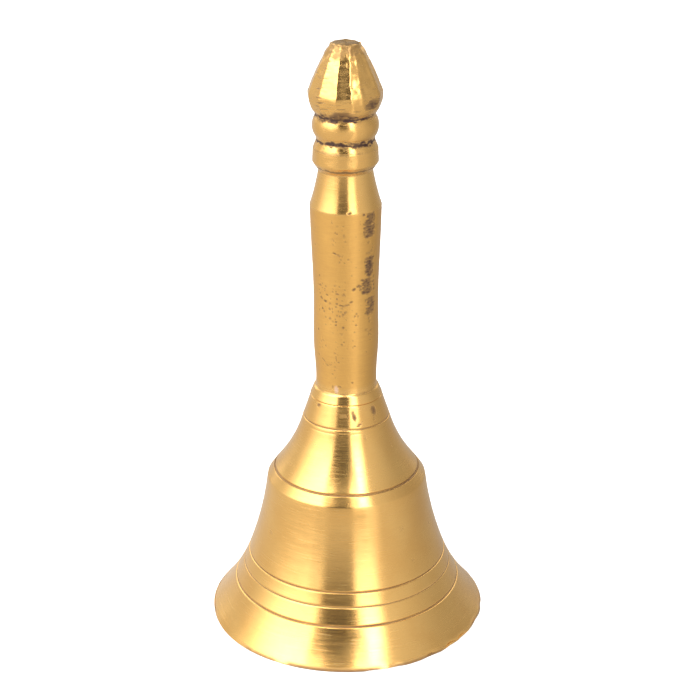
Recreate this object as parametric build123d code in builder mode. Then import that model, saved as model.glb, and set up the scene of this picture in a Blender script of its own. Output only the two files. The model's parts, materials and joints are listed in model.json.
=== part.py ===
from build123d import *

import math
import os

# A small turned brass hand bell with a solid handle, a bud finial and a ring-hung clapper.
#
# Frame: +Z up, origin at the centre of the mouth, on the plane the lip stands on. Millimetres.
# The eye of the eye bolt lies in the XZ plane, the hanging ring in the YZ plane and the clapper's
# own eye in the XZ plane again. The ring swings about X on the eye, and the clapper swings about
# Y on the ring.

# ---------------------------------------------------------------- driving dimensions
TOTAL_HEIGHT = 115.0
MOUTH_R = 27.25
LIP_INSIDE_R = 25.5
LIP_ROUND = 0.2  # the lip's outer edge, broken by wear
JOINT_BREAK = 0.12  # edges broken by hand where the handle meets the crown

# Bell cup, outside: (radius, height) where the turned profile changes.
CROWN_R = 6.95
CROWN_Z = 46.3
CROWN_SIDE = (7.66, 44.0)
FLARE_TOP = (8.45, 41.7)
FLARE_SIDE = (10.9, 35.7)
SHOULDER_TOP = (14.1, 31.0)
SHOULDER_EDGE = (15.5, 29.05)
WAIST_TOP = (15.65, 28.3)
WAIST_SIDE = (17.35, 19.6)
WAIST_FOOT = (19.5, 12.8)
SKIRT_SIDE = (22.38, 6.7)

# Bell cup, inside: a smooth cast hollow ending in a flat seat for the washer.
SEAT_R = 5.6
SEAT_Z = 42.2
HOLLOW = [(20.75, 6.6), (17.6, 12.8), (15.15, 20.5), (13.1, 27.6), (9.8, 33.5), (6.9, 38.4)]

# Turned lines on the cup: (radius, height, radius of the cutting point).
CUP_LINES = [
    (8.4, 42.0, 0.2),
    (8.7, 41.15, 0.12),
    (14.14, 30.95, 0.24),
    (19.5, 12.8, 0.2),
    (20.65, 10.2, 0.2),
    (22.3, 6.95, 0.26),
]

# Handle, from the foot up.
FOOT_SIDE = (6.6, 47.2)
FOOT_EDGE = (6.3, 47.95)
FOOT_ROOT = (5.9, 48.3)
GRIP_WAIST = (5.83, 51.2)
GRIP_BULGE = (6.1, 55.2)
GRIP_MIDDLE = (6.14, 66.0)
GRIP_SWELL = (6.47, 76.5)
GRIP_TOP = (6.74, 84.7)
NECK_SIDE = (5.72, 88.3)
NECK_TOP = (5.08, 91.5)
COLLAR_FOOT = (5.72, 92.4)
COLLAR_LOW = (6.18, 93.1)
COLLAR_HIGH = (6.08, 95.6)
COLLAR_ROOT = (5.42, 97.2)
BEAD_LOW = (5.55, 97.9)
BEAD_MIDDLE = (6.2, 100.0)
BEAD_HIGH = (5.68, 101.7)
BUD_ROOT = (5.6, 102.0)
BUD_LOW = (5.82, 102.5)
BUD_MIDDLE = (6.84, 104.7)
BUD_SHOULDER = (6.9, 106.2)
BUD_SIDE = (5.1, 110.5)
BUD_TOP = (3.35, 114.0)
TIP_FOOT = (3.02, 114.4)
TIP_R = 2.8

# Flats filed by hand round the bud.
BUD_R = 7.02
BUD_Z = 105.4
FLAT_COUNT = 8
FLAT_DEPTH = 0.18

# Hardware inside the cup: an M4 eye bolt with its washer and nut. Threads are left plain.
BOLT_R = 2.0
BOLT_DEPTH = 12.0  # how far the bolt reaches into the handle
BORE_DEPTH = 13.5
BOLT_CHAMFER = 0.3
THREAD_GAP = 0.02
CLEARANCE_R = 2.2  # holes in the washer and the crown
WASHER_R = 4.5
WASHER_T = 0.8
NUT_ACROSS_FLATS = 7.0
NUT_H = 3.2
NUT_EDGE = 0.3
EYE_Z = 32.9
EYE_R = 3.5
EYE_WIRE_R = 1.3

# Clapper. Each loop hangs on the one above with a small working gap.
LINK_GAP = 0.05
RING_R = 3.7
RING_WIRE_R = 0.9
RING_ARC = 351.0
ROD_R = 1.1
ROD_EYE_R = 2.9
ROD_BEND_R = 2.2
ROD_LOOP_ARC = 297.0
BALL_R = 4.8
BALL_Z = 7.3
BALL_HALF_H = 4.5
ROD_STOP_R = 1.75
ROD_STOP_H = 0.9
PEEN_R = 1.95
PEEN_H = 0.85
FIT_GAP = 0.02

# ---------------------------------------------------------------- derived places
EYE_BOTTOM_Z = EYE_Z - EYE_R
RING_Z = EYE_BOTTOM_Z + EYE_WIRE_R + LINK_GAP + RING_WIRE_R - RING_R
RING_BOTTOM_Z = RING_Z - RING_R
ROD_EYE_Z = RING_BOTTOM_Z + RING_WIRE_R + LINK_GAP + ROD_R - ROD_EYE_R
BEND_ANGLE = math.degrees(math.acos(ROD_BEND_R / (ROD_BEND_R + ROD_EYE_R)))
ROD_TOP_Z = ROD_EYE_Z - (ROD_BEND_R + ROD_EYE_R) * math.sin(math.radians(BEND_ANGLE))
WASHER_Z = SEAT_Z - WASHER_T
NUT_Z = WASHER_Z - NUT_H
BALL_TOP_Z = BALL_Z + BALL_HALF_H
BALL_BOTTOM_Z = BALL_Z - BALL_HALF_H

os.makedirs("parts", exist_ok=True)

# ---------------------------------------------------------------- bell cup
with BuildPart() as bell_cup:
    with BuildSketch(Plane.XZ):
        with BuildLine():
            Line((CLEARANCE_R, SEAT_Z), (CLEARANCE_R, CROWN_Z))
            Line((CLEARANCE_R, CROWN_Z), (CROWN_R - JOINT_BREAK, CROWN_Z))
            Line((CROWN_R - JOINT_BREAK, CROWN_Z), (CROWN_R, CROWN_Z - JOINT_BREAK))
            ThreePointArc((CROWN_R, CROWN_Z - JOINT_BREAK), CROWN_SIDE, FLARE_TOP)
            ThreePointArc(FLARE_TOP, FLARE_SIDE, SHOULDER_TOP)
            Polyline(SHOULDER_TOP, SHOULDER_EDGE, WAIST_TOP)
            ThreePointArc(WAIST_TOP, WAIST_SIDE, WAIST_FOOT)
            ThreePointArc(WAIST_FOOT, SKIRT_SIDE, (MOUTH_R, LIP_ROUND))
            CenterArc((MOUTH_R - LIP_ROUND, LIP_ROUND), LIP_ROUND, 270, 90)
            Line((MOUTH_R - LIP_ROUND, 0), (LIP_INSIDE_R, 0))
            Spline((LIP_INSIDE_R, 0), *HOLLOW, (SEAT_R, SEAT_Z))
            Line((SEAT_R, SEAT_Z), (CLEARANCE_R, SEAT_Z))
        make_face()
    revolve(axis=Axis.Z)
    with BuildSketch(Plane.XZ):
        for line_r, line_z, point_r in CUP_LINES:
            with Locations((line_r, line_z)):
                Circle(point_r)
    revolve(axis=Axis.Z, mode=Mode.SUBTRACT)
bell_cup.part.label = "bell_cup"
export_step(bell_cup.part, "parts/bell_cup.step")

# ---------------------------------------------------------------- handle with its bud finial
with BuildPart() as handle:
    with BuildSketch(Plane.XZ):
        with BuildLine():
            Line((0, CROWN_Z), (CROWN_R - JOINT_BREAK, CROWN_Z))
            Line((CROWN_R - JOINT_BREAK, CROWN_Z), (CROWN_R, CROWN_Z + JOINT_BREAK))
            ThreePointArc((CROWN_R, CROWN_Z + JOINT_BREAK), FOOT_SIDE, FOOT_EDGE)
            Line(FOOT_EDGE, FOOT_ROOT)
            Spline(FOOT_ROOT, GRIP_WAIST, GRIP_BULGE, GRIP_MIDDLE, GRIP_SWELL, GRIP_TOP)
            ThreePointArc(GRIP_TOP, NECK_SIDE, NECK_TOP)
            Polyline(
                NECK_TOP,
                COLLAR_FOOT,
                COLLAR_LOW,
                COLLAR_HIGH,
                COLLAR_ROOT,
                BEAD_LOW,
            )
            ThreePointArc(BEAD_LOW, BEAD_MIDDLE, BEAD_HIGH)
            Polyline(BEAD_HIGH, BUD_ROOT, BUD_LOW)
            ThreePointArc(BUD_LOW, BUD_MIDDLE, BUD_SHOULDER)
            ThreePointArc(BUD_SHOULDER, BUD_SIDE, BUD_TOP)
            Polyline(BUD_TOP, TIP_FOOT, (TIP_R, TOTAL_HEIGHT), (0, TOTAL_HEIGHT))
            Line((0, TOTAL_HEIGHT), (0, CROWN_Z))
        make_face()
    revolve(axis=Axis.Z)
    with BuildSketch(Plane.XY.offset(CROWN_Z)):
        Circle(BOLT_R + THREAD_GAP)
    extrude(amount=BORE_DEPTH, mode=Mode.SUBTRACT)
    with Locations((0, 0, BUD_Z)):
        with PolarLocations(BUD_R - FLAT_DEPTH, FLAT_COUNT, start_angle=180 / FLAT_COUNT):
            Box(
                BUD_R,
                2 * BUD_R,
                BUD_R,
                align=(Align.MIN, Align.CENTER, Align.CENTER),
                mode=Mode.SUBTRACT,
            )
handle.part.label = "handle"
export_step(handle.part, "parts/handle.step")

# ---------------------------------------------------------------- eye bolt
with BuildPart() as clapper_eye_bolt:
    with BuildSketch(Plane.XY.offset(EYE_Z + EYE_R)):
        Circle(BOLT_R)
    extrude(amount=CROWN_Z + BOLT_DEPTH - EYE_Z - EYE_R)
    with BuildSketch(Plane.YZ):
        with Locations((0, EYE_Z + EYE_R)):
            Circle(EYE_WIRE_R)
    revolve(axis=Axis((0, 0, EYE_Z), (0, 1, 0)))
    chamfer(clapper_eye_bolt.edges().group_by(Axis.Z)[-1], BOLT_CHAMFER)
clapper_eye_bolt.part.label = "clapper_eye_bolt"
export_step(clapper_eye_bolt.part, "parts/clapper_eye_bolt.step")

# ---------------------------------------------------------------- washer and nut
with BuildPart() as crown_washer:
    with BuildSketch(Plane.XY.offset(WASHER_Z)):
        Circle(WASHER_R)
        Circle(CLEARANCE_R, mode=Mode.SUBTRACT)
    extrude(amount=WASHER_T)
crown_washer.part.label = "crown_washer"
export_step(crown_washer.part, "parts/crown_washer.step")

with BuildPart() as crown_nut:
    with BuildSketch(Plane.XY.offset(NUT_Z)):
        RegularPolygon(NUT_ACROSS_FLATS / 2, 6, major_radius=False)
    extrude(amount=NUT_H)
    with BuildSketch(Plane.XZ):
        with BuildLine():
            corner_r = NUT_ACROSS_FLATS / 2 / math.cos(math.pi / 6)
            Polyline(
                (0, NUT_Z),
                (corner_r - 2 * NUT_EDGE, NUT_Z),
                (corner_r, NUT_Z + NUT_EDGE),
                (corner_r, NUT_Z + NUT_H - NUT_EDGE),
                (corner_r - 2 * NUT_EDGE, NUT_Z + NUT_H),
                (0, NUT_Z + NUT_H),
                close=True,
            )
        make_face()
    revolve(axis=Axis.Z, mode=Mode.INTERSECT)
    with BuildSketch(Plane.XY.offset(NUT_Z)):
        Circle(BOLT_R + THREAD_GAP)
    extrude(amount=NUT_H, mode=Mode.SUBTRACT)
crown_nut.part.label = "crown_nut"
export_step(crown_nut.part, "parts/crown_nut.step")

# ---------------------------------------------------------------- hanging ring, butted at one side
with BuildPart() as hanging_ring:
    with BuildSketch(Plane((0, 0, RING_Z), x_dir=(0, 1, 0), z_dir=(0, 0, -1))):
        with Locations((RING_R, 0)):
            Circle(RING_WIRE_R)
    revolve(axis=Axis((0, 0, RING_Z), (1, 0, 0)), revolution_arc=RING_ARC)
hanging_ring.part.label = "hanging_ring"
export_step(hanging_ring.part, "parts/hanging_ring.step")

# ---------------------------------------------------------------- clapper
with BuildPart() as clapper_rod:
    with BuildLine(Plane.XZ) as rod_line:
        Line((0, BALL_BOTTOM_Z + PEEN_H / 2), (0, ROD_TOP_Z))
        CenterArc((ROD_BEND_R, ROD_TOP_Z), ROD_BEND_R, 180, -BEND_ANGLE)
        CenterArc((0, ROD_EYE_Z), ROD_EYE_R, -BEND_ANGLE, ROD_LOOP_ARC)
    with BuildSketch(Plane.XY.offset(BALL_BOTTOM_Z + PEEN_H / 2)):
        Circle(ROD_R)
    sweep(path=rod_line.line)
    with BuildSketch(Plane.XY.offset(BALL_TOP_Z)):
        Circle(ROD_STOP_R)
    extrude(amount=ROD_STOP_H)
    with BuildSketch(Plane.XY.offset(BALL_BOTTOM_Z)):
        Circle(PEEN_R)
    extrude(amount=PEEN_H)
clapper_rod.part.label = "clapper_rod"
export_step(clapper_rod.part, "parts/clapper_rod.step")

with BuildPart() as clapper_ball:
    with Locations((0, 0, BALL_Z)):
        Sphere(BALL_R)
    with BuildSketch(Plane.XY.offset(BALL_BOTTOM_Z)):
        Circle(BALL_R)
    extrude(amount=2 * BALL_HALF_H, mode=Mode.INTERSECT)
    with BuildSketch(Plane.XY.offset(BALL_BOTTOM_Z)):
        Circle(ROD_R + FIT_GAP)
    extrude(amount=2 * BALL_HALF_H, mode=Mode.SUBTRACT)
    with BuildSketch(Plane.XY.offset(BALL_BOTTOM_Z)):
        Circle(PEEN_R + FIT_GAP)
    extrude(amount=PEEN_H + FIT_GAP, mode=Mode.SUBTRACT)
clapper_ball.part.label = "clapper_ball"
export_step(clapper_ball.part, "parts/clapper_ball.step")
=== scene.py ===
import json
import math

import bmesh
import bpy
import numpy as np
from mathutils import Euler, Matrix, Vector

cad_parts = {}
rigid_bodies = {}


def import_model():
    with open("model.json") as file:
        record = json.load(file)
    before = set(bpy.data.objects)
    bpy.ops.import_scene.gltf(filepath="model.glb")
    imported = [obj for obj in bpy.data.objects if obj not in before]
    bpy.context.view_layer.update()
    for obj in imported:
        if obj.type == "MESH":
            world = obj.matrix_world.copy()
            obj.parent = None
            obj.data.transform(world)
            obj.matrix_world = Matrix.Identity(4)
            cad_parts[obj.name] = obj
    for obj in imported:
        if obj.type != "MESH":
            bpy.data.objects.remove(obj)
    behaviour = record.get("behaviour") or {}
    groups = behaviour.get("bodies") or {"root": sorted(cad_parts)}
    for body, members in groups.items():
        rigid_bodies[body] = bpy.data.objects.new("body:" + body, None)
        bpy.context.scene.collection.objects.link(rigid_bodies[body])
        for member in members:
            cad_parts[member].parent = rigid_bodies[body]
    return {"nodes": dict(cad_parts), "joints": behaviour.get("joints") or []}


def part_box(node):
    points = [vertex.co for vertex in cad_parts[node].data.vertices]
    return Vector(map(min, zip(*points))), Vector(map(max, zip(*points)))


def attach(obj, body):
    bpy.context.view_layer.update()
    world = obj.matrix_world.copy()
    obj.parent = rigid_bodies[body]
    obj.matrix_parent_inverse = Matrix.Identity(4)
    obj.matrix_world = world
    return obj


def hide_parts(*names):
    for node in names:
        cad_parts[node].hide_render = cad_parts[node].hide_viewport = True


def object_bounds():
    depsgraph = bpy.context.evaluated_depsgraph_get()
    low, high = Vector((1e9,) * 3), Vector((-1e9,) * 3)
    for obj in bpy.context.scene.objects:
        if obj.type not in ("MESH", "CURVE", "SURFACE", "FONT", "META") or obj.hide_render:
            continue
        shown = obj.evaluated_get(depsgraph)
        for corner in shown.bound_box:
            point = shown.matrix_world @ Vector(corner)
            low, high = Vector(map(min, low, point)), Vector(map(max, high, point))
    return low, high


# Looks of a turned brass hand bell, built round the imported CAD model. Metres, +Z up.
# Angles round the bell are in degrees from the front (-Y), positive towards +X.

MM = 0.001
SEED = 7
ROUND_STEPS = 240  # steps round a turned piece
SAME_PLACE = 0.001 * MM  # CAD vertices that are nearer to each other are one
ON_SEAM = 0.0005 * MM  # how far from the seam's plane its vertices may lie
OFF_AXIS = 0.5 * MM  # an outline's points lie farther than this from the axis
CORNER_TURN = 14.0  # degrees between two stretches of an outline that make a corner
EDGE_SOFT = 0.045 * MM  # how far a handled edge is rounded
FINE_STEP = 0.02 * MM  # between the points of a fine outline
HOLLOW_STEP = 0.05  # mm between the points at which hollows are looked for

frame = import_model()
nodes = frame["nodes"]
cad_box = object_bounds()


# ------------------------------------------------------------------ turned outlines
def seam_loop(node):
    """The outline of a turned CAD node at azimuth 0, as (radius, height) points in order."""
    bm = bmesh.new()
    bm.from_mesh(node.data)
    bmesh.ops.remove_doubles(bm, verts=bm.verts, dist=SAME_PLACE)
    left = {v for v in bm.verts if abs(v.co.y) < ON_SEAM and v.co.x > OFF_AXIS}
    here = max(left, key=lambda v: (v.co.z, v.co.x))
    loop = []
    while here:
        loop.append((here.co.x, here.co.z))
        left.discard(here)
        joined = [e.other_vert(here) for e in here.link_edges if e.other_vert(here) in left]
        nearby = joined or left
        here = min(nearby, key=lambda v: (v.co - here.co).length) if nearby else None
    bm.free()
    return np.array(loop)


def curve_through(points, step):
    """Points every step along a smooth cubic through points."""
    gaps = np.linalg.norm(np.diff(points, axis=0), axis=1)
    slopes = np.diff(points, axis=0) / gaps[:, None]
    tangents = np.empty_like(points)
    weighted = slopes[1:] * gaps[:-1, None] + slopes[:-1] * gaps[1:, None]
    tangents[1:-1] = weighted / (gaps[:-1] + gaps[1:])[:, None]
    tangents[0] = 1.5 * slopes[0] - 0.5 * tangents[1]
    tangents[-1] = 1.5 * slopes[-1] - 0.5 * tangents[-2]
    made = []
    for i, gap in enumerate(gaps):
        count = max(1, round(gap / step))
        t = (np.arange(count) / count)[:, None]
        made.append(
            (1 + 2 * t) * (1 - t) ** 2 * points[i]
            + t * (1 - t) ** 2 * gap * tangents[i]
            + t * t * (3 - 2 * t) * points[i + 1]
            + t * t * (t - 1) * gap * tangents[i + 1]
        )
    return np.concatenate(made + [points[-1:]])


def softened(values, step, width, cut):
    """Values that lie step apart, smoothed by a bell curve of this width that ends at cut widths."""
    reach = int(cut * width / step)
    kernel = np.exp(-0.5 * (np.arange(-reach, reach + 1) * step / width) ** 2)
    padded = np.pad(values, reach, mode="reflect", reflect_type="odd")
    return np.convolve(padded, kernel / kernel.sum(), mode="valid")


def fine_outline(points):
    """A closely sampled outline that is smooth between its corners and softened at them."""
    heading = np.unwrap(np.arctan2(*np.diff(points, axis=0).T))
    corners = np.flatnonzero(np.abs(np.diff(heading)) > math.radians(CORNER_TURN)) + 1
    marks = [0, *corners, len(points) - 1]
    pieces = []
    for a, b in zip(marks[:-1], marks[1:]):
        if b - a > 1:
            pieces.append(curve_through(points[a : b + 1], FINE_STEP)[:-1])
        else:
            count = max(1, round(np.linalg.norm(points[b] - points[a]) / FINE_STEP))
            t = (np.arange(count) / count)[:, None]
            pieces.append(points[a] * (1 - t) + points[b] * t)
    fine = np.concatenate(pieces + [points[-1:]])
    return np.stack([softened(fine[:, k], FINE_STEP, EDGE_SOFT, 4) for k in (0, 1)], axis=1)


def closed_outline(node):
    """The fine outline of a turned CAD node with a hole along its axis."""
    loop = seam_loop(nodes[node])
    return fine_outline(np.concatenate([loop, loop[:1]]))[:-1]


def lengths(points):
    """The gaps between neighbouring points, and how far along their line each point lies."""
    gaps = np.linalg.norm(np.diff(points, axis=0), axis=1)
    return gaps, np.concatenate([[0], np.cumsum(gaps)])


def rings_along(fine, widest, tolerance=0.003 * MM, tightest=0.045 * MM):
    """Picks rings from a fine outline: close together where it bends, at most widest(r, z) apart."""
    gaps, along = lengths(fine)
    heading = np.unwrap(np.arctan2(*np.gradient(fine, along, axis=0).T))
    bend = np.abs(np.gradient(heading, along)) + 1e-6
    wide = widest(fine[:, 0], fine[:, 1])
    spacing = np.clip(np.sqrt(8 * tolerance / bend), tightest, wide)
    density = 1 / spacing
    kernel = np.ones(9) / 9
    density = np.convolve(np.pad(density, 4, mode="edge"), kernel, mode="valid")
    share = np.concatenate([[0], np.cumsum(0.5 * (density[1:] + density[:-1]) * gaps)])
    targets = np.linspace(0, share[-1], int(share[-1]) + 1)
    at = np.interp(targets, share, along)
    return np.stack([np.interp(at, along, fine[:, k]) for k in (0, 1)], axis=1)


def outward(rings):
    """Unit normals of an outline that runs down its outside."""
    run = np.gradient(rings, axis=0)
    normal = np.stack([-run[:, 1], run[:, 0]], axis=1)
    return normal / np.linalg.norm(normal, axis=1)[:, None]


def sheet(rows, steps, closed):
    """Outward faces over a grid of points that is joined round each row. A closed sheet also joins its
    last row to its first; an open one ends in two fans, whose middles follow the grid's points."""
    index = np.arange(rows * steps).reshape(rows, steps)
    upper = index if closed else index[:-1]
    lower = np.roll(index, -1, axis=0) if closed else index[1:]
    faces = np.stack([upper, lower, np.roll(lower, -1, axis=1), np.roll(upper, -1, axis=1)], axis=2)
    faces = faces.reshape(-1, 4).tolist()
    if not closed:
        middle = rows * steps
        faces += [[middle, a, b] for a, b in zip(index[0], np.roll(index[0], -1))]
        faces += [[middle + 1, b, a] for a, b in zip(index[-1], np.roll(index[-1], -1))]
    return faces


def new_piece(name, points, faces):
    mesh = bpy.data.meshes.new(name)
    mesh.from_pydata(points.tolist(), [], faces)
    mesh.shade_smooth()
    piece = bpy.data.objects.new(name, mesh)
    bpy.context.scene.collection.objects.link(piece)
    return piece


def turned_mesh(name, rings, lift, closed, marks):
    """Revolves rings about Z and lifts each point by lift (rings by steps) along the outline's normal.
    A closed outline makes a tube; an open one starts and ends on the axis. No point leaves the CAD
    model's height. Marks are values for the materials, kept on the mesh."""
    theta = np.radians(np.arange(ROUND_STEPS) * 360 / ROUND_STEPS - 90)
    normal = outward(rings)
    radius = rings[:, :1] + lift * normal[:, :1]
    height = np.clip(rings[:, 1:] + lift * normal[:, 1:], cad_box[0].z, cad_box[1].z)
    points = np.stack([radius * np.cos(theta), radius * np.sin(theta), height], axis=2).reshape(-1, 3)
    if not closed:
        points = np.concatenate([points, [[0, 0, height[0].mean()], [0, 0, height[-1].mean()]]])
    piece = new_piece(name, points, sheet(len(rings), ROUND_STEPS, closed))
    for mark, values in marks.items():
        layer = piece.data.attributes.new(mark, "FLOAT", "POINT")
        flat = np.zeros(len(points), np.float32)
        flat[: values.size] = values.ravel()
        layer.data.foreach_set("value", flat)
    return piece


def smoothstep(low, high, value):
    """0 below low, 1 above high and an even bend between them."""
    t = np.clip((value - low) / (high - low), 0, 1)
    return t * t * (3 - 2 * t)


def wrapped_noise(rng, turn, along, columns, cell):
    """Smooth random values from 0 to 1 over turn (0 to 1, joined end to end) and along (rows, 1)."""
    low = along.min()
    grid = rng.random((int((along.max() - low) / cell) + 3, columns))
    across, up = turn * columns, (along - low) / cell
    i, j = np.floor(across).astype(int), np.floor(up).astype(int)
    u, v = smoothstep(0, 1, across - i)[None, :], smoothstep(0, 1, up - j)
    left, right = (i % columns)[None, :], ((i + 1) % columns)[None, :]
    bottom = grid[j, left] * (1 - u) + grid[j, right] * u
    top = grid[j + 1, left] * (1 - u) + grid[j + 1, right] * u
    return bottom * (1 - v) + top * v


def layered_noise(rng, turn, along, columns, cell, layers=3):
    """Wrapped noise with finer layers added, still from 0 to 1."""
    shares = [0.5**k for k in range(layers)]
    sheets = [n * wrapped_noise(rng, turn, along, round(columns / n), cell * n) for n in shares]
    return sum(sheets) / sum(shares)


class Skin:
    """The grid of points of a turned piece, with what is pressed into it and what marks it carries."""

    def __init__(self, rings, seed):
        self.rings = rings
        self.rng = np.random.default_rng(seed)
        self.angle = (np.arange(ROUND_STEPS) * 360 / ROUND_STEPS + 180) % 360 - 180
        self.height = rings[:, 1:] / MM
        self.radius = rings[:, :1] / MM
        self.shape = (len(rings), ROUND_STEPS)
        self.lift = np.zeros(self.shape)
        # The grime mark holds real dirt and also painted shade.
        self.marks = {name: np.zeros(self.shape) for name in ("grime_and_shade", "satin", "stain", "cast")}

    def noise(self, cell_angle, cell_height, layers=1):
        """Smooth random values from 0 to 1, cell_angle degrees wide and cell_height mm high."""
        turn = (self.angle + 180) / 360
        columns = max(3, round(360 / cell_angle))
        return layered_noise(self.rng, turn, self.height, columns, cell_height, layers)

    def spot(self, angle, height, half_wide, half_high, turn=0.0):
        """How far inside an ellipse each point is, from 0 to 1: sizes in mm, angles in degrees."""
        rows = np.flatnonzero(np.abs(self.height[:, 0] - height) < max(half_wide, half_high))
        value = np.zeros(self.shape)
        off = (self.angle - angle + 180) % 360 - 180
        across = np.radians(off)[None, :] * self.radius[rows]
        up = self.height[rows] - height
        c, s = math.cos(math.radians(turn)), math.sin(math.radians(turn))
        q = ((across * c + up * s) / half_wide) ** 2 + ((up * c - across * s) / half_high) ** 2
        value[rows] = np.clip(1 - q, 0, 1)
        return value

    def soil_and_shade(self, grime_and_shade):
        """Adds dirt, and painted shade where a caller paints it, wherever it is thicker than what is there.
        """
        self.marks["grime_and_shade"] = np.maximum(self.marks["grime_and_shade"], grime_and_shade)

    def press(self, inside, depth, grime_and_shade):
        """Presses a spot into the metal, depth mm deep, and leaves dirt in it."""
        self.lift = np.minimum(self.lift, -depth * MM * inside)
        self.soil_and_shade(grime_and_shade * np.sqrt(inside))

    def hollows(self, width):
        """How deep each ring lies below the outline around it, in mm."""
        along = lengths(self.rings)[1] / MM
        even = np.arange(0, along[-1], HOLLOW_STEP)
        smooth = []
        for k in (0, 1):
            line = np.interp(even, along, self.rings[:, k] / MM)
            smooth.append(np.interp(along, even, softened(line, HOLLOW_STEP, width, 3)))
        normal = outward(self.rings)
        return ((np.stack(smooth, axis=1) - self.rings / MM) * normal).sum(axis=1)[:, None]


# ------------------------------------------------------------------ node materials
class Graph:
    """A short way to write shader nodes: inputs are given by name, as numbers or as sockets."""

    def __init__(self, tree):
        self.tree = tree
        tree.nodes.clear()

    def add(self, kind, settings=(), **inputs):
        node = self.tree.nodes.new("ShaderNode" + kind)
        for key, value in dict(settings).items():
            setattr(node, key, value)
        for key, value in inputs.items():
            self.put(node.inputs[key.replace("_", " ")], value)
        return node

    def put(self, socket, value):
        if isinstance(value, bpy.types.NodeSocket):
            self.tree.links.new(value, socket)
        else:
            socket.default_value = value

    def math(self, operation, *values):
        node = self.tree.nodes.new("ShaderNodeMath")
        node.operation = operation
        for socket, value in zip(node.inputs, values):
            self.put(socket, value)
        return node.outputs[0]

    def plus(self, *values):
        return self.math("ADD", *values)

    def minus(self, *values):
        return self.math("SUBTRACT", *values)

    def times(self, *values):
        return self.math("MULTIPLY", *values)

    def ramp(self, value, low, high, to_low=0.0, to_high=1.0):
        """Goes from to_low to to_high with an even bend while value goes from low to high."""
        limits = {"From_Min": low, "From_Max": high, "To_Min": to_low, "To_Max": to_high}
        node = self.add("MapRange", {"interpolation_type": "SMOOTHSTEP"}, Value=value, **limits)
        return node.outputs["Result"]

    def mix(self, factor, low, high):
        node = self.add("Mix", {"data_type": "RGBA"}, Factor=factor, A=low, B=high)
        return node.outputs["Result"]

    def noise(self, vector, scale, detail=2.0, roughness=0.5):
        node = self.add("TexNoise", Vector=vector, Scale=scale, Detail=detail, Roughness=roughness)
        return node.outputs["Fac"]

    def mark(self, name):
        node = self.add("Attribute", {"attribute_name": name})
        return node.outputs["Fac"]

    def place(self, kind="Object"):
        return self.add("TexCoord").outputs[kind]

    def end(self, kind, shader):
        self.put(self.add(kind).inputs["Surface"], shader.outputs[0])


def new_material(name):
    material = bpy.data.materials.new(name)
    material.use_nodes = True
    return material, Graph(material.node_tree)


def turned_space(g, around, along):
    """Texture space that wraps round Z: features are long round the bell when around is small."""
    split = g.add("SeparateXYZ", Vector=g.place())
    angle = g.math("ARCTAN2", split.outputs["Y"], split.outputs["X"])
    joined = g.add("CombineXYZ")
    g.put(joined.inputs["X"], g.times(g.math("COSINE", angle), around))
    g.put(joined.inputs["Y"], g.times(g.math("SINE", angle), around))
    g.put(joined.inputs["Z"], g.times(split.outputs["Z"], along / MM))
    return joined.outputs[0]


GOLD_TONES = ((0.77, 0.445, 0.14, 1), (0.82, 0.5, 0.17, 1))  # polished brass
WORKED_TONES = ((0.72, 0.40, 0.115, 1), (0.78, 0.455, 0.13, 1))  # brass with a satin face
CAST_TONES = ((0.21, 0.125, 0.055, 1), (0.40, 0.25, 0.10, 1))  # casting skin
STAIN_TONE = (0.40, 0.33, 0.37, 1)
SATIN_SHOWS, STAIN_SHOWS = 0.85, 0.55  # how much of the metal's colour they take
DULLED = 0.33  # roughness that dirt and casting skin add
BRUSHED = 0.85  # how much polished metal smears its highlights round the bell
CAST_GRAIN = 14.0  # how much grainier casting skin is
LINES_DEEP = 0.004 * MM  # turning lines and grain of brass
SPECKS_DEEP = 0.012 * MM  # grain of plain metal goods


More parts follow.
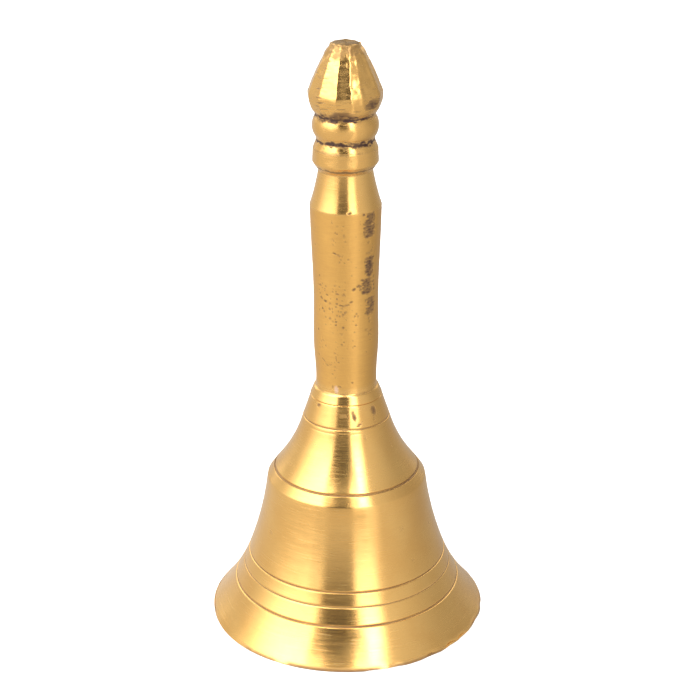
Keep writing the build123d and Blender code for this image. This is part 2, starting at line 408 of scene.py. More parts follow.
def brass(name, polish, satin, tarnish_and_shade):
    """Turned brass. Polish and satin are its two roughnesses; marks on the mesh say where satin metal,
    casting skin, stain, tarnish and painted shade show; tarnish and painted shade take the tarnish colour."""
    material, g = new_material(name)
    place = g.place()
    broad = g.noise(turned_space(g, 2.0, 1.1), 1.0, 5.0, 0.6)
    fine = g.noise(turned_space(g, 3.0, 3.6), 1.0, 6.0, 0.62)
    finest = g.noise(turned_space(g, 5.0, 11.0), 1.0, 4.0, 0.6)
    cloud = g.noise(place, 95.0, 4.0, 0.6)
    speck = g.noise(place, 900.0, 5.0, 0.65)
    # dirt carries the grime mark: real dirt, and also painted shade on the bud and along the cup's lip.
    dull, dirt, cast, stain = (g.mark(mark) for mark in ("satin", "grime_and_shade", "cast", "stain"))
    gold = g.mix(g.ramp(cloud, 0.3, 0.7), *GOLD_TONES)
    worked = g.mix(g.ramp(fine, 0.3, 0.7), *WORKED_TONES)
    gold = g.mix(g.times(dull, SATIN_SHOWS), gold, worked)
    gold = g.mix(cast, gold, g.mix(g.ramp(cloud, 0.35, 0.65), *CAST_TONES))
    gold = g.mix(g.times(stain, STAIN_SHOWS), gold, STAIN_TONE)
    broken = g.times(dirt, g.ramp(speck, 0.25, 0.5, 0.72, 1.0))
    colour = g.mix(broken, gold, tarnish_and_shade)
    rough = g.ramp(fine, 0.2, 0.8, polish - 0.05, polish + 0.08)
    rough = g.plus(rough, g.times(dull, satin - polish))
    rough = g.plus(rough, g.times(g.math("MAXIMUM", broken, cast), DULLED))
    height = g.plus(g.times(broad, 2.2), fine)
    crossed = g.ramp(g.noise(turned_space(g, 9.0, 0.9), 2.4, 4.0, 0.6), 0.52, 0.72)
    height = g.plus(height, g.times(finest, g.ramp(crossed, 0.0, 1.0, 0.45, 1.3)))
    bump = g.add("Bump", Strength=1.0, Distance=LINES_DEEP, Height=height)
    grainy = g.times(speck, g.plus(1.0, g.times(cast, CAST_GRAIN)))
    grain = g.add("Bump", Strength=1.0, Distance=LINES_DEEP, Height=grainy, Normal=bump.outputs[0])
    spin = g.add("Tangent", {"direction_type": "RADIAL", "axis": "Z"})
    plain = g.math("MAXIMUM", g.times(dull, 0.5), cast)
    shader = g.add(
        "BsdfPrincipled",
        Base_Color=colour,
        Metallic=g.minus(1.0, g.times(g.math("MAXIMUM", broken, stain), 0.7)),
        Roughness=rough,
        Anisotropic=g.times(BRUSHED, g.minus(1.0, plain)),
        Anisotropic_Rotation=0.25,
        Normal=grain.outputs[0],
        Tangent=spin.outputs[0],
    )
    g.end("OutputMaterial", shader)
    return material


def hardware(name, bright, dark, spots, rough, metal):
    """Plain metal goods: bright and dark are its two tones, and spots is rust or dirt."""
    material, g = new_material(name)
    place = g.place()
    cloud = g.noise(place, 420.0, 5.0, 0.6)
    drawn = g.noise(place, 1500.0, 4.0, 0.65)
    speck = g.noise(place, 2600.0, 3.0, 0.6)
    colour = g.mix(g.ramp(cloud, 0.35, 0.65), bright, dark)
    rusty = g.ramp(g.plus(cloud, g.times(speck, 0.35)), 0.66, 0.78)
    colour = g.mix(g.times(rusty, 0.8), colour, spots)
    grain = g.add("Bump", Strength=1.0, Distance=SPECKS_DEEP, Height=drawn)
    uneven = g.ramp(drawn, 0.2, 0.8, rough - 0.07, rough + 0.1)
    shader = g.add(
        "BsdfPrincipled",
        Base_Color=colour,
        Metallic=g.minus(metal, g.times(rusty, 0.5)),
        Roughness=g.plus(uneven, g.times(rusty, 0.2)),
        Normal=grain.outputs[0],
    )
    g.end("OutputMaterial", shader)
    return material


# ------------------------------------------------------------------ the bell cup
CUP_SPOTS = (  # angle, height, half width, half height, turn, depth, grime
    (-48.0, 45.7, 0.60, 0.30, 8, 0.05, 1.0),
    (-4.0, 44.4, 0.9, 0.35, 0, 0.02, 0.5),
    (9.5, 45.1, 0.3, 0.42, -20, 0.05, 0.85),
    (11.5, 44.2, 0.45, 0.85, 14, 0.05, 1.0),
    (44.5, 44.8, 0.75, 1.05, 10, 0.05, 1.0),
    (43.0, 43.4, 0.25, 0.9, -12, 0.03, 0.6),
    (18.0, 42.75, 0.85, 0.26, 28, 0.04, 0.95),
    (60.0, 37.4, 0.16, 0.9, 6, 0.03, 0.55),
    (24.0, 40.2, 0.14, 0.55, -8, 0.03, 0.4),
    (-59.5, 20.2, 0.5, 0.35, 0, 0.03, 0.35),
    (45.0, 16.3, 0.4, 0.45, 0, 0.03, 0.3),
    (40.0, 23.0, 0.5, 0.5, 0, 0.02, 0.25),
    (71.0, 20.5, 0.35, 0.3, 0, 0.02, 0.3),
)
LIP_CHIPS = (  # angle, half width in degrees, how far the lip is worn back in mm
    (-90, 19, 0.40),
    (-112, 9, 0.25),
    (20, 2.5, 0.22),
    (37, 3.0, 0.55),
    (49, 4.0, 0.60),
    (57, 3.0, 0.50),
    (71, 3.5, 0.40),
    (128, 8.0, 0.30),
    (196, 5.0, 0.25),
    (232, 7.0, 0.20),
)
CUP_OUTSIDE_R, CUP_INSIDE_R = 6.0, 5.0  # mm: nearer the axis, the cup's faces stay plain
CUP_OUTSIDE_RING, CUP_INSIDE_RING = 0.31 * MM, 0.7 * MM  # the widest gaps between rings


def make_cup():
    """The cup: turned and polished outside, rough cast inside, worn and chipped at the lip, with painted
    shadow along the lip's lower edge.
    """
    outline = closed_outline("bell_cup")
    lip_floor = np.flatnonzero(outline[:, 1] < 0.02 * MM)
    turn_point = lip_floor[len(lip_floor) // 2]

    def widest(r, z):
        """The outline runs down the outside first, and up the inside from the turn point."""
        return np.where(np.arange(len(r)) < turn_point, CUP_OUTSIDE_RING, CUP_INSIDE_RING)

    rings = rings_along(outline, widest)[:-1]
    skin = Skin(rings, SEED)
    falls = (np.gradient(rings[:, 1]) < 0)[:, None]
    outside = falls & (skin.radius > CUP_OUTSIDE_R)
    inside = ~falls & (skin.radius > CUP_INSIDE_R)

    hollow = skin.hollows(0.5)
    dirt = smoothstep(0.015, 0.08, hollow) * (0.55 + 0.45 * skin.noise(24, 4, 3))
    skin.marks["grime_and_shade"] = dirt * outside
    for angle, height, wide, high, turn, depth, grime_and_shade in CUP_SPOTS:
        skin.press(skin.spot(angle, height, wide, high, turn) * outside, depth, grime_and_shade)

    chatter = 0.016 * (skin.noise(120, 1.7, 3) - 0.5) + 0.007 * (skin.noise(16, 0.8, 2) - 0.5)
    skin.lift += MM * chatter * outside
    sandy = 0.16 * (skin.noise(14, 3.2, 2) - 0.5) + 0.09 * (skin.noise(4.5, 1.5, 2) - 0.5)
    skin.lift -= MM * sandy * inside * smoothstep(0.3, 2.5, skin.height)
    skin.marks["cast"] = inside * smoothstep(0.5, 1.8, skin.height) * np.ones(skin.shape)

    worn = 0.16 * smoothstep(0.5, 0.95, skin.noise(6, 40, 2))
    for angle, half, depth in LIP_CHIPS:
        off = (skin.angle - angle + 180) % 360 - 180
        worn = worn + depth * np.exp(-((off / half) ** 2))
    skin.lift -= MM * worn * (1 - smoothstep(0.0, 1.1, skin.height)) * outside
    # Painted shadow along the lip's lower edge: the lowest 0.8 mm of the outside takes the tarnish colour,
    # all along the front and in patches round the rest.
    front = np.exp(-(((skin.angle + 5) / 13) ** 2))
    edge = (1 - smoothstep(0.35, 0.8, skin.height)) * smoothstep(0.35, 0.6, skin.noise(11, 3, 2) + front)
    skin.soil_and_shade(0.8 * edge * outside)
    return turned_mesh("bell_cup_turned", rings, skin.lift, True, skin.marks)


# ------------------------------------------------------------------ the handle
STREAK = (  # patches of rough, brown casting skin: angles, heights, number of marks, grime
    (30, 54, 79.8, 84.4, 95, 1.0),
    (34, 50, 76.4, 79.0, 6, 0.5),
    (34, 54, 71.8, 76.0, 62, 1.0),
    (24, 58, 68.6, 71.6, 62, 1.0),
    (36, 62, 64.4, 67.6, 55, 0.95),
    (34, 52, 60.0, 63.5, 7, 0.5),
)
PITTED = (  # patches of fine pits: angles, heights, number, size, grime
    (-24, 4, 75.0, 83.5, 26, 0.20, 0.7),
    (-55, 2, 62.0, 70.5, 55, 0.24, 1.0),
    (-16, 22, 58.0, 66.0, 20, 0.21, 0.85),
    (-60, -8, 51.5, 60.0, 22, 0.20, 0.75),
    (-90, 90, 50.5, 84.0, 70, 0.13, 0.5),
    (90, 270, 50.5, 84.0, 170, 0.18, 0.75),
)
GRIP_SPOTS = (  # angle, height, half width, half height, turn, depth, grime
    (5.6, 84.9, 0.5, 0.2, 12, 0.08, 1.0),
    (-19.0, 77.0, 0.45, 0.2, -14, 0.08, 1.0),
    (-12.5, 76.7, 0.6, 0.14, -6, 0.06, 0.85),
    (-6.0, 76.5, 0.25, 0.12, 0, 0.05, 0.7),
    (-16.0, 66.9, 0.35, 0.16, 0, 0.06, 0.9),
    (-8.0, 66.6, 0.6, 0.2, -10, 0.08, 0.95),
    (1.0, 66.7, 0.7, 0.15, 8, 0.07, 0.9),
    (9.0, 67.3, 0.45, 0.17, 16, 0.07, 0.95),
    (14.0, 69.8, 0.45, 0.3, 25, 0.07, 0.95),
    (22.0, 70.4, 0.5, 0.25, 20, 0.07, 0.9),
    (-1.7, 65.2, 0.25, 0.3, 0, 0.06, 0.8),
    (-35.0, 68.4, 0.3, 0.14, -10, 0.06, 0.95),
    (-52.0, 71.9, 0.22, 0.16, 0, 0.05, 0.8),
    (-42.0, 65.0, 0.25, 0.2, 0, 0.05, 0.8),
    (-57.0, 60.9, 0.25, 0.28, 0, 0.05, 0.85),
    (17.7, 62.6, 0.28, 0.22, 0, 0.05, 0.75),
    (-44.0, 54.9, 0.7, 0.13, -38, 0.05, 0.75),
    (-30.0, 54.2, 0.6, 0.12, 28, 0.04, 0.6),
    (-18.0, 55.6, 0.16, 0.6, 8, 0.04, 0.6),
    (11.3, 50.7, 0.3, 0.16, 0, 0.05, 0.8),
    (-26.0, 49.6, 0.14, 0.5, 4, 0.04, 0.8),
    (-12.0, 49.9, 0.42, 0.2, -12, 0.04, 0.7),
)
BUD_FLATS = (  # angle of the flat, half angle that is filed away, lowest height, how far it bows round
    (-86, 11, 103.6, 0),
    (-59, 14, 103.2, 2),
    (-28, 15, 103.3, 0),
    (-3, 13, 104.2, 0),
    (18, 11, 103.2, 9),
    (43, 17, 104.2, 0),
    (78, 13, 103.4, 0),
    (118, 20, 103.6, 0),
    (158, 19, 103.4, 0),
    (-158, 20, 103.8, 0),
    (-116, 19, 103.4, 0),
)
DIRTY_GROOVES = (  # height, half height, grime, angle where it is thickest
    (102.15, 0.75, 1.0, -20),
    (97.3, 0.68, 1.0, 5),
    (92.3, 0.35, 0.75, 10),
    (95.75, 0.25, 0.45, -35),
    (48.25, 0.16, 0.4, -10),
)
BUD_CUTS = (  # angle, height, half width, depth, grime
    (-52, 107.6, 0.8, 0.06, 0.9),
    (-46, 106.1, 1.1, 0.06, 0.8),
    (-42, 105.2, 1.2, 0.07, 0.95),
    (-50, 104.4, 0.9, 0.05, 0.6),
    (-36, 104.0, 1.3, 0.06, 0.7),
    (-43, 112.3, 0.5, 0.07, 0.7),
    (-30, 112.9, 0.6, 0.06, 0.5),
)
BUD_FOOT = 103.2  # mm: the bud's uneven faces start at this height
BUD_MIDDLE, BUD_REACH = 108.5, 5  # mm: a flat bows by its full angle this far from the middle
FILE_MARKS = 150  # in random places on the bud
GRIP_LOW, GRIP_HIGH = (48.6, 50.0), (84.3, 84.75)  # mm: where the satin grip fades in and out
GROOVED_FROM = 92  # mm: dirt lies thicker in the hollows above this height
HANDLE_OUTSIDE_R, HANDLE_FOOT = 2.4, 46.6  # mm: nearer the axis or lower, the handle stays plain


def roughen_grip(skin):
    """Pits and strips of casting skin that the turning left in the grip."""
    rng = skin.rng
    for low_a, high_a, low_z, high_z, number, strength in STREAK:
        for _ in range(number):
            lean = np.clip(rng.normal(0, 0.5), -1, 1)
            angle = (low_a + high_a) / 2 + lean * (high_a - low_a) / 2
            wide = rng.uniform(0.3, 0.95) * (1.3 - abs(lean))
            height = rng.uniform(low_z, high_z)
            where = skin.spot(angle, height, wide, rng.uniform(0.17, 0.36), rng.normal(6, 12))
            skin.press(where, rng.uniform(0.03, 0.1), strength * rng.uniform(0.65, 1.0))
    for low_a, high_a, low_z, high_z, number, size, strength in PITTED:
        for _ in range(number):
            half = size * rng.uniform(0.5, 1.2)
            angle, height = rng.uniform(low_a, high_a), rng.uniform(low_z, high_z)
            where = skin.spot(angle, height, half * rng.uniform(0.8, 1.5), half, rng.uniform(-30, 30))
            skin.press(where, rng.uniform(0.02, 0.06), strength * rng.uniform(0.4, 1.0))
    for angle, height, wide, high, turn, depth, grime_and_shade in GRIP_SPOTS:
        skin.press(skin.spot(angle, height, wide, high, turn), depth, grime_and_shade)


def file_bud(skin, outside):
    """Flats filed round the bud by hand, with the marks of the file across them."""
    rng = skin.rng
    worn = skin.radius * np.ones(skin.shape)
    for angle, half, low, bow in BUD_FLATS:
        bowed = bow * ((skin.height - BUD_MIDDLE) / BUD_REACH) ** 2
        middle = angle + bowed + 5 * (skin.noise(360, 0.5, 3) - 0.5)
        off = np.radians((skin.angle - middle + 180) % 360 - 180)
        fade = smoothstep(low - 0.6, low + 0.7, skin.height)
        flat = skin.radius * math.cos(math.radians(half)) / np.maximum(np.cos(off), 0.3)
        cut = skin.radius + (flat - skin.radius) * fade
        worn = np.where(np.abs(off) < 0.9, np.minimum(worn, cut), worn)
    skin.lift += np.minimum(0, worn - skin.radius) * MM * outside
    bud = outside & (skin.height > BUD_FOOT)
    ripple = 0.05 * (skin.noise(60, 0.7, 2) - 0.5) + 0.20 * (skin.noise(26, 3.4, 3) - 0.5)
    wrinkle = 0.16 * (skin.noise(15, 1.0, 3) - 0.5) * smoothstep(110.2, 112.6, skin.height)
    skin.lift += MM * (ripple + wrinkle) * bud
    for angle, height, wide, depth, grime_and_shade in BUD_CUTS:
        where = skin.spot(angle, height, wide, 0.13, 3)
        skin.lift -= MM * depth * where
        skin.soil_and_shade(grime_and_shade * np.sqrt(where))
    for _ in range(FILE_MARKS):
        angle, height = rng.uniform(-180, 180), rng.uniform(103.4, 113.6)
        where = skin.spot(angle, height, rng.uniform(0.3, 1.2), rng.uniform(0.06, 0.12), rng.normal(3, 7))
        skin.lift -= MM * rng.uniform(0.01, 0.04) * where
        dark = 0.85 * rng.random() ** 2.2
        skin.soil_and_shade(dark * np.sqrt(where))
    # Then painted shade and a painted dark reflection on the bud.
    paint_bud_shade(skin, outside)


def paint_bud_shade(skin, outside):
    """Painted shade in patches: a painted dark reflection in a strip up the front, and painted shade on the
    crown's front, the right corner and the base.
    """
    # Painted dark reflection in a strip up the bud's front.
    strip = np.sqrt(skin.spot(-3, 108.6, 1.05, 5.6))
    # Painted shade on the front half of the crown.
    crown = 0.8 * smoothstep(111.4, 113.6, skin.height) * (np.cos(np.radians(skin.angle + 25)) > 0)
    # Painted shade on a filed flat at the right corner.
    corner = np.sqrt(skin.spot(48, 104.7, 2.6, 1.4, 18))
    # Painted shade on the bud's base below its widest point, strongest at the front.
    base = 0.85 * (1 - smoothstep(103.0, 105.2, skin.height)) * np.exp(-(((skin.angle + 12) / 50) ** 2))
    patches = ((strip, 0.12, 0.95), (crown, 0.7, 0.7), (corner, 0.95, 0.7), (base, 1.0, 0.72))
    for inside, strength, least in patches:
        patchy = smoothstep(least, least + 0.4, inside + 0.85 * (skin.noise(14, 0.35, 3) - 0.15))
        skin.soil_and_shade(strength * patchy * inside * outside * (skin.height > 101.9))


def make_handle():
    """The handle in one piece: foot, satin grip, neck, two rings with deep grooves and the filed bud."""
    outline = fine_outline(seam_loop(nodes["handle"]))
    rims = [np.linspace((0.01 * MM, end[1]), end, 40) for end in (outline[0], outline[-1])]
    outline = np.concatenate([rims[0][:-1], outline, rims[1][::-1][1:]])
    foot, bud = 46.35 * MM, 102.4 * MM

    def widest(r, z):
        """Wide gaps under the foot, in the bore and at the tip, narrow ones on the rest."""
        spacing = np.where(z > bud, 0.16 * MM, 0.2 * MM)
        return np.where((z < foot) | (r < 2.2 * MM), 1.2 * MM, spacing)

    rings = rings_along(outline, widest, tightest=0.07 * MM)
    skin = Skin(rings, SEED + 1)
    outside = (skin.radius > HANDLE_OUTSIDE_R) & (skin.height > HANDLE_FOOT)
    hollow = skin.hollows(0.45)
    front_left = np.exp(-(((skin.angle + 25) / 60) ** 2))[None, :]
    patchy = smoothstep(0.2, 0.7, skin.noise(16, 1.2, 3) + 0.4 * front_left)
    upper = skin.height > GROOVED_FROM
    skin.marks["grime_and_shade"] = smoothstep(0.04, 0.24, hollow) * patchy * outside * np.where(upper, 1.0, 0.6)
    for height, half, grime_and_shade, thick in DIRTY_GROOVES:
        near = 1 - np.abs(skin.height - height) / half
        front = 0.32 * np.cos(np.radians(skin.angle - thick))[None, :]
        broken = 1.3 * (skin.noise(9, 0.35, 3) - 0.5)
        ragged = smoothstep(0.26, 0.72, near * 0.62 + front + broken)
        skin.soil_and_shade(grime_and_shade * ragged * (near > -0.4))
    grip = smoothstep(*GRIP_LOW, skin.height) * (1 - smoothstep(*GRIP_HIGH, skin.height))
    skin.marks["satin"] = grip * outside * np.ones(skin.shape)
    skin.marks["stain"] = np.sqrt(skin.spot(-19.0, 49.2, 0.5, 0.9, 8))
    roughen_grip(skin)
    file_bud(skin, outside)
    knocks = np.abs(skin.noise(22, 1.6, 3) - 0.5)
    skin.lift -= MM * 0.11 * knocks * outside * smoothstep(91, 94, skin.height)
    waves = 0.012 * (skin.noise(100, 1.5, 3) - 0.5) + 0.014 * (skin.noise(24, 2.4, 2) - 0.5)
    skin.lift += MM * waves * outside
    return turned_mesh("handle_turned", rings, skin.lift, False, skin.marks)


# ------------------------------------------------------------------ the hardware and the clapper
WIRE_STEPS = 40  # steps round a wire
WIRE_GAP = 0.1  # mm between the rows of points along a wire
WIRE_DENTS = 0.03  # how much of its radius a wire loses at most
JOIN_ROWS = 8  # over which the end of a closed wire takes up the width of its start
RING_GAP = 9.0  # degrees between the hanging ring's butted ends
ROD_EYE_SWEEP = 297  # degrees that the rod's eye goes round
RIDGES = 7.0  # radians of turning ridges in a mm of height
THREAD_PITCH = 0.7 * MM
THREAD_DEPTH = 0.3 * MM
ROD_WIRE_R = 1.1 * MM
STOP_GROWTH, STOP_HEIGHT = 0.65 * MM, 0.9 * MM
PEEN_GROWTH, PEEN_HEIGHT = 0.85 * MM, 0.8 * MM
BEND_R = 2.2 * MM


def wire_mesh(name, path, across, radius, closed, seed):
    """A wire of varying radius along a flat path; across is the unit normal of the path's plane."""
    rng = np.random.default_rng(seed)
    step = np.roll(path, -1, axis=0) - np.roll(path, 1, axis=0) if closed else np.gradient(path, axis=0)
    step = step / np.linalg.norm(step, axis=1)[:, None]
    across = np.array(across, float)
    side = np.cross(step, across)
    theta = np.radians(np.arange(WIRE_STEPS) * 360 / WIRE_STEPS)
    along = np.arange(len(path), dtype=float)[:, None] * WIRE_GAP
    turn = np.arange(WIRE_STEPS) / WIRE_STEPS
    shrink = 1 - WIRE_DENTS * layered_noise(rng, turn, along, 5, 1.4, 3)
    if closed:
        blend = np.linspace(0.1, 1, JOIN_ROWS)[:, None]
        shrink[-JOIN_ROWS:] += (shrink[0] - shrink[-JOIN_ROWS:]) * blend
    reach = radius[:, None] * shrink
    points = path[:, None, :] + reach[:, :, None] * (
        np.cos(theta)[None, :, None] * side[:, None, :] + np.sin(theta)[None, :, None] * across
    )
    points = points.reshape(-1, 3)
    if not closed:
        points = np.concatenate([points, path[:1], path[-1:]])
    return new_piece(name, points, sheet(len(path), WIRE_STEPS, closed))


def nipped(count, rows=6):
    """How wide a wire is along its length: full, with both cut ends rounded over a few rows."""
    from_end = np.minimum(np.arange(count), np.arange(count)[::-1])
    t = np.clip(from_end / rows, 0, 1)
    return 0.55 + 0.45 * np.sqrt(1 - (1 - t) ** 2)


def arc(centre, radius, start, sweep, plane):
    """Points along an arc; plane gives which two axes it runs in."""
    count = max(8, int(abs(math.radians(sweep)) * radius / (WIRE_GAP * MM)))
    angle = np.radians(start + sweep * np.arange(count + 1) / count)
    points = np.tile(np.array(centre, float), (count + 1, 1))
    points[:, plane[0]] += radius * np.cos(angle)
    points[:, plane[1]] += radius * np.sin(angle)
    return points


def turned_goods(node, rough, waves, seed):
    """The skin of a small turned or stamped piece: its CAD outline, roughened outside its bore.
    Rough and waves are depths in mm."""
    rings = rings_along(closed_outline(node), lambda r, z: np.full(len(r), 0.14 * MM))[:-1]
    skin = Skin(rings, seed)
    bore = skin.radius < skin.radius.min() + 0.1
    lift = -rough * skin.noise(30, 1.0, 3) - waves * np.abs(np.sin(skin.height * RIDGES))
    skin.lift = MM * lift * ~bore
    return skin


def joint_height(name):
    return next(j for j in frame["joints"] if j["name"] == name)["pos_m"][2]


def make_eye():
    """The eye bolt's eye, a little thinner at the top and bottom of its bend."""
    low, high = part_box("clapper_eye_bolt")
    outer = high.x
    wire = joint_height("ring_swing") - low.z
    centre = (0, 0, low.z + outer)
    path = arc(centre, outer - wire, 90, 360, (0, 2))[:-1]
    bent = wire * (1 - 0.02 * (1 + np.cos(np.linspace(0, 4 * math.pi, len(path)))))
    return wire_mesh("eye_bolt_eye", path, (0, 1, 0), bent, True, SEED + 2)


def make_shank():
    """The eye bolt's threaded shank, rooted in the eye."""
    low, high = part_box("clapper_eye_bolt")
    root = low.z + 2 * high.x - 1.7 * MM
    count = int((high.z - root) / (0.07 * MM))
    height = np.linspace(root, high.z, count)
    taper = np.minimum(1, 0.82 + (high.z - height) / (1.6 * MM))
    rings = np.stack([high.y * taper, height], axis=1)[::-1]
    turn = np.arange(ROUND_STEPS)[None, :] / ROUND_STEPS
    phase = (rings[:, 1:] / THREAD_PITCH - turn) % 1
    threaded = smoothstep(root + 1.2 * MM, root + 2.0 * MM, rings[:, 1:])
    lift = -THREAD_DEPTH * np.abs(2 * phase - 1) * threaded
    return turned_mesh("eye_bolt_shank", rings, lift, False, {})


def make_nut():
    """A turned blank cut to six flats."""
    skin = turned_goods("crown_nut", 0.02, 0.0, SEED + 3)
    flats = nodes["crown_nut"].dimensions.y / 2 / MM
    off = np.radians((skin.angle + 90 + 30) % 60 - 30)
    lift = np.minimum(skin.lift, MM * (flats / np.cos(off) - skin.radius))
    return turned_mesh("crown_nut_hex", skin.rings, lift, True, {})


def make_washer():
    skin = turned_goods("crown_washer", 0.02, 0.0, SEED + 6)
    return turned_mesh("crown_washer_disc", skin.rings, skin.lift, True, {})


def make_ball():
    skin = turned_goods("clapper_ball", 0.06, 0.025, SEED + 7)
    return turned_mesh("clapper_ball_turned", skin.rings, skin.lift, True, {})


def make_ring():
    """The hanging ring: a bent wire whose cut ends almost meet at one side."""
    low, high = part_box("hanging_ring")
    wire = high.x
    centre = (0, 0, (low.z + high.z) / 2)
    path = arc(centre, high.y - wire, RING_GAP / 2, 360 - RING_GAP, (1, 2))
    return wire_mesh("hanging_ring_wire", path, (1, 0, 0), wire * nipped(len(path)), False, SEED + 4)


def make_rod():
    """The rod from its peened foot to the end of the eye that hooks over the ring."""
    low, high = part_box("clapper_rod")
    eye_r = high.x - ROD_WIRE_R
    eye = high.z - high.x
    bend = math.degrees(math.acos(BEND_R / (BEND_R + eye_r)))
    top = eye - (BEND_R + eye_r) * math.sin(math.radians(bend))
    straight = np.linspace((0, 0, low.z), (0, 0, top), int((top - low.z) / (WIRE_GAP * MM)))
    curve = arc((BEND_R, 0, top), BEND_R, 180, -bend, (0, 2))[1:]
    loop = arc((0, 0, eye), eye_r, -bend, ROD_EYE_SWEEP, (0, 2))[1:]
    path = np.concatenate([straight, curve, loop])
    height = path[:, 2]
    radius = ROD_WIRE_R * nipped(len(path))
    shank = np.arange(len(path)) < len(straight)
    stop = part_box("clapper_ball")[1].z
    above = (height - stop) / STOP_HEIGHT
    collar = smoothstep(-0.05, 0.28, above) * (1 - smoothstep(0.5, 1.0, above))
    head = 1 - smoothstep(0.55, 1.0, (height - low.z) / PEEN_HEIGHT)
    dome = np.sqrt(np.clip((height - low.z + 0.02 * MM) / (0.45 * MM), 0, 1))
    swollen = np.maximum(radius, ROD_WIRE_R * dome) + STOP_GROWTH * collar + PEEN_GROWTH * head * dome
    radius = np.where(shank, swollen, radius)
    return wire_mesh("clapper_rod_wire", path, (0, 1, 0), radius, False, SEED + 5)


# ------------------------------------------------------------------ putting the pieces in place
def show(pieces, material, body, node):
    """Puts the pieces on a body, in place of a CAD node."""
    for piece in pieces:
        piece.data.materials.append(material)
        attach(piece, body)
        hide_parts(node)


ZINC_TONES = ((0.56, 0.55, 0.52, 1), (0.40, 0.39, 0.36, 1), (0.45, 0.30, 0.16, 1))  # bright, dark, dirt
IRON_TONES = ((0.34, 0.31, 0.28, 1), (0.17, 0.15, 0.135, 1), (0.30, 0.13, 0.05, 1))
BALL_TONES = ((0.66, 0.42, 0.15, 1), (0.48, 0.29, 0.10, 1), (0.20, 0.11, 0.05, 1))


def make_all():
    """Every piece of the bell, with the parts of the clapper on their own bodies."""
    # The last colour of each brass is its tarnish colour, also used for painted shade.
    bell_brass = brass("bell_brass", 0.22, 0.42, (0.15, 0.075, 0.03, 1))
    handle_brass = brass("handle_brass", 0.22, 0.40, (0.055, 0.025, 0.018, 1))
    zinc = hardware("zinc_steel", *ZINC_TONES, 0.36, 0.95)
    iron = hardware("iron_wire", *IRON_TONES, 0.42, 0.9)
    ball_brass = hardware("clapper_brass", *BALL_TONES, 0.34, 1.0)
    show([make_cup()], bell_brass, "bell", "bell_cup")
    show([make_handle()], handle_brass, "bell", "handle")
    show([make_eye(), make_shank()], zinc, "bell", "clapper_eye_bolt")
    show([make_nut()], zinc, "bell", "crown_nut")
    show([make_washer()], zinc, "bell", "crown_washer")
    show([make_ring()], iron, "ring", "hanging_ring")
    show([make_rod()], iron, "clapper", "clapper_rod")
    show([make_ball()], ball_brass, "clapper", "clapper_ball")


# ------------------------------------------------------------------ studio
GAP_LEFT, GAP_RIGHT = (-27.3, -23.7), (6.2, 9.8)  # degrees over which the dark gap's edges fade


def degrees_round(g, way):
    """A direction's angle round Z, in degrees from the front."""
    return g.times(g.math("ARCTAN2", way.outputs["X"], g.times(way.outputs["Y"], -1.0)), 180 / math.pi)


def make_world():
    """A studio that metal sees: a broad light at the left, a narrow one at the right with a dark gap
    between them, two weak ones behind and a dim backdrop. The camera sees it plain white."""
    world = bpy.data.worlds.new("studio")
    bpy.context.scene.world = world
    world.use_nodes = True
    g = Graph(world.node_tree)
    way = g.add("SeparateXYZ", Vector=g.place("Generated"))
    side = degrees_round(g, way)
    rise = g.times(g.math("ARCSINE", way.outputs["Z"]), 180 / math.pi)
    uneven = g.noise(g.add("CombineXYZ", Z=g.times(rise, 0.34)).outputs[0], 1.0, 4.0, 0.65)
    edge = g.plus(side, g.times(g.minus(uneven, 0.5), 24.0))

    def window(value, low, high, soft_low, soft_high):
        """1 from low to high, fading to 0 over the soft degrees at each end."""
        up = g.ramp(value, low - soft_low, low + soft_low)
        down = g.ramp(value, high - soft_high, high + soft_high, 1.0, 0.0)
        return g.times(up, down)

    light = g.times(g.ramp(side, 35, 110, 0.98, 0.52), g.ramp(side, -180, -60, 0.75, 1.0))
    away = g.plus(g.ramp(side, 160, 172), g.ramp(side, -176, -164, 1.0, 0.0))
    backdrop = g.times(away, window(rise, 12, 46, 8, 8))
    light = g.times(light, g.minus(1.0, g.times(backdrop, 0.72)))
    climb = g.ramp(rise, 3, 42, 0.2, 1.0)
    low_edge = g.plus(edge, g.ramp(rise, 8, 20, 18.0, 0.0))
    broad = g.times(g.ramp(edge, -114, -64), g.ramp(low_edge, *GAP_LEFT, 1.0, 0.0))
    panels = (  # how far across and how far up each light reaches, and its strength
        (broad, window(rise, 0, 84, 6, 8), 4.3),
        (window(edge, 8, 35, 1.8, 6.0), window(rise, -2, 86, 4, 6), 6.4),
        (window(side, 138, 164, 5, 5), window(rise, 6, 84, 6, 6), 1.7),
        (window(side, -168, -130, 5, 9), window(rise, 6, 84, 6, 6), 2.2),
    )
    for across, up, strength in panels:
        lobe = g.times(g.times(across, up), climb)
        light = g.plus(light, g.times(lobe, strength))
    spread = g.times(g.ramp(rise, 6, 50), 15.0)
    from_left = g.plus(edge, spread)
    from_right = g.minus(edge, spread)
    sides = g.times(g.ramp(from_left, *GAP_LEFT), g.ramp(from_right, *GAP_RIGHT, 1.0, 0.0))
    gap = g.times(sides, window(rise, 2, 50, 3, 8))
    depth = g.times(gap, g.ramp(rise, 4, 18, 0.68, 0.90))
    light = g.times(light, g.minus(1.0, depth))
    seen = g.add("LightPath").outputs["Is Camera Ray"]
    light = g.plus(g.times(light, g.minus(1.0, seen)), seen)
    tint = g.mix(seen, (1.0, 0.985, 0.96, 1), (1.0, 1.0, 1.0, 1))
    back = g.add("Background", Color=tint, Strength=light)
    g.end("OutputWorld", back)


FLOOR_SIZE = 8.0
FLOOR_GAP = 0.02 * MM  # keeps the lip from touching the floor


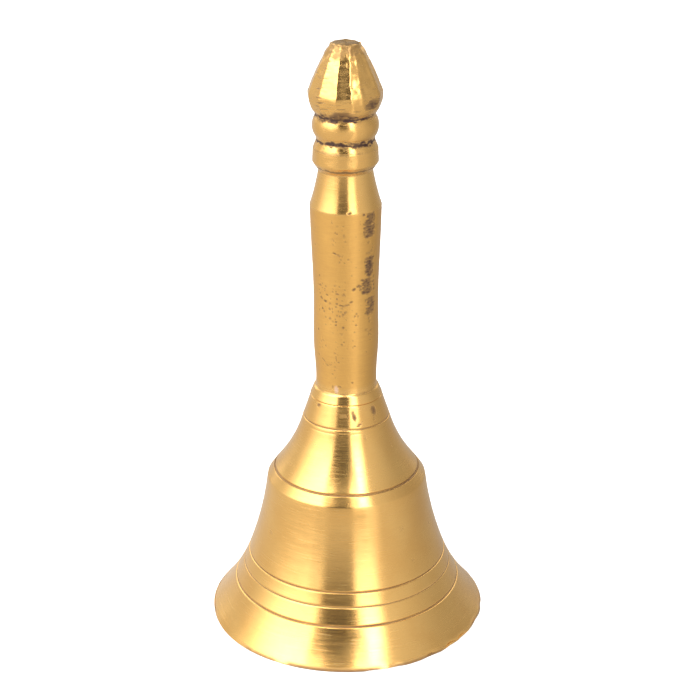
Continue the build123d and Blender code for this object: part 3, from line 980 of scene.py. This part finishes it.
def make_floor():
    """A white table. Polished metal sees it bright at the front, with a brighter strip at the right,
    and fading away from the lights. A camera below the table sees through it."""
    bpy.ops.mesh.primitive_plane_add(size=FLOOR_SIZE, location=(0, 0, cad_box[0].z - FLOOR_GAP))
    floor = bpy.context.object
    floor.name = "floor"
    material, g = new_material("floor_white")
    side = degrees_round(g, g.add("SeparateXYZ", Vector=g.place()))
    mirrored = g.times(g.ramp(side, 38, 118, 0.92, 0.54), g.ramp(side, -180, -80, 0.8, 1.0))
    strip = g.times(g.ramp(side, 22, 27), g.ramp(side, 37, 45, 0.34, 0.0))
    mirrored = g.plus(mirrored, strip)
    path = g.add("LightPath")
    paper = g.add("BsdfDiffuse", Color=(0.72, 0.71, 0.70, 1))
    lit = g.add("Emission", Strength=g.times(path.outputs["Is Camera Ray"], 0.45))
    both = g.add("AddShader")
    g.put(both.inputs[0], paper.outputs[0])
    g.put(both.inputs[1], lit.outputs[0])
    shiny = g.add("Emission", Color=(1.0, 0.97, 0.93, 1), Strength=mirrored)
    seen = g.add("MixShader")
    g.put(seen.inputs[0], path.outputs["Is Glossy Ray"])
    g.put(seen.inputs[1], both.outputs[0])
    g.put(seen.inputs[2], shiny.outputs[0])
    eye = g.add("VectorTransform", {"vector_type": "POINT", "convert_from": "CAMERA", "convert_to": "WORLD"})
    eye.inputs[0].default_value = (0, 0, 0)
    below = g.math("LESS_THAN", g.add("SeparateXYZ", Vector=eye.outputs[0]).outputs["Z"], 0.0)
    pane = g.add("MixShader")
    g.put(pane.inputs[0], below)
    g.put(pane.inputs[1], seen.outputs[0])
    g.put(pane.inputs[2], g.add("BsdfTransparent").outputs[0])
    g.end("OutputMaterial", pane)
    floor.data.materials.append(material)


CAMERA_BACK, CAMERA_UP = 2.787, 1.662  # in bell heights, from the middle of the mouth
CAMERA_TILT, CAMERA_ROLL = 23.0, -0.18  # degrees downwards and round its line of sight
CAMERA_LENS, CAMERA_SENSOR = 93.2, 36.0  # mm
CAMERA_SHIFT = 0.0055  # of the picture's width


def make_camera():
    """The photographer's camera, in front of the bell and above it."""
    height = cad_box[1].z - cad_box[0].z
    data = bpy.data.cameras.new("camera")
    data.sensor_width = CAMERA_SENSOR
    data.lens = CAMERA_LENS
    data.shift_x = CAMERA_SHIFT
    data.clip_start = 0.01
    data.clip_end = 50.0
    camera = bpy.data.objects.new("camera", data)
    camera.location = (0, -CAMERA_BACK * height, CAMERA_UP * height)
    camera.rotation_euler = Euler((math.radians(90 - CAMERA_TILT), 0, 0))
    camera.rotation_euler.rotate_axis("Z", math.radians(CAMERA_ROLL))
    bpy.context.scene.collection.objects.link(camera)
    bpy.context.scene.camera = camera


for leftover in [o for o in bpy.context.scene.objects if o.name in ("Cube", "Light", "Camera")]:
    bpy.data.objects.remove(leftover)
make_all()
make_world()
make_floor()
make_camera()
bpy.context.scene.view_settings.view_transform = "Standard"
